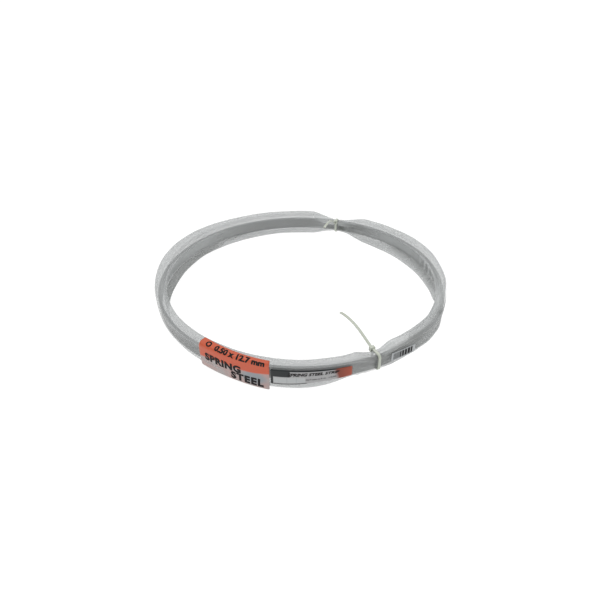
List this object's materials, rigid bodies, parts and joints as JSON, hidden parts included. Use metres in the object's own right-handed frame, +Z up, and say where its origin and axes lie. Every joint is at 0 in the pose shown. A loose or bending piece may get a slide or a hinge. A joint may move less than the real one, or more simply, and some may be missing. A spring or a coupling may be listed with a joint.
{
  "type": "feeler gauge coil",
  "caption": "Coil of flat spring-steel feeler strip in a ring-shaped clear film sleeve, drawn in by ratchet cable ties, with printed labels on the outer wall.",
  "frame": {"origin": "centre of the ring, on the surface that the coil lies on", "axes": "+Z up along the ring's axis, -Y towards the side with the labels, +X towards the sleeve's overlapped mouth"},
  "size_m": [0.3066, 0.3068, 0.0371],
  "materials": {
    "strip": "bright hardened spring steel, lightly oiled",
    "film": "hazy clear polyethylene tube, creased",
    "nylon": "natural nylon, satin",
    "label": "printed coated paper, orange and silver"
  },
  "bodies": {
    "sleeve": {"film_sleeve": "film", "front_tie": "nylon", "rear_tie": "nylon", "title_label": "label", "spec_label": "label", "barcode_label": "label"},
    "coil": {"gauge_strip": "strip"},
    "front_pawl": {"front_tie_pawl": "nylon"},
    "rear_pawl": {"rear_tie_pawl": "nylon"}
  },
  "joints": [
    {"name": "strip_turn", "type": "hinge", "parent": "sleeve", "child": "coil", "pos_m": [0, 0, 0.0147], "axis": [0, 0.0227, 0.9997], "continuous": true},
    {"name": "front_pawl_flex", "type": "hinge", "parent": "sleeve", "child": "front_pawl", "pos_m": [0.06405, -0.12679, 0.0249], "axis": [-0.8926, -0.4509, 0], "range_deg": [0, 12], "stiffness_Nm_per_rad": 0.002},
    {"name": "rear_pawl_flex", "type": "hinge", "parent": "sleeve", "child": "rear_pawl", "pos_m": [0.04507, 0.13871, 0.0179], "axis": [0.9511, -0.309, 0], "range_deg": [0, 12], "stiffness_Nm_per_rad": 0.002}
  ]
}
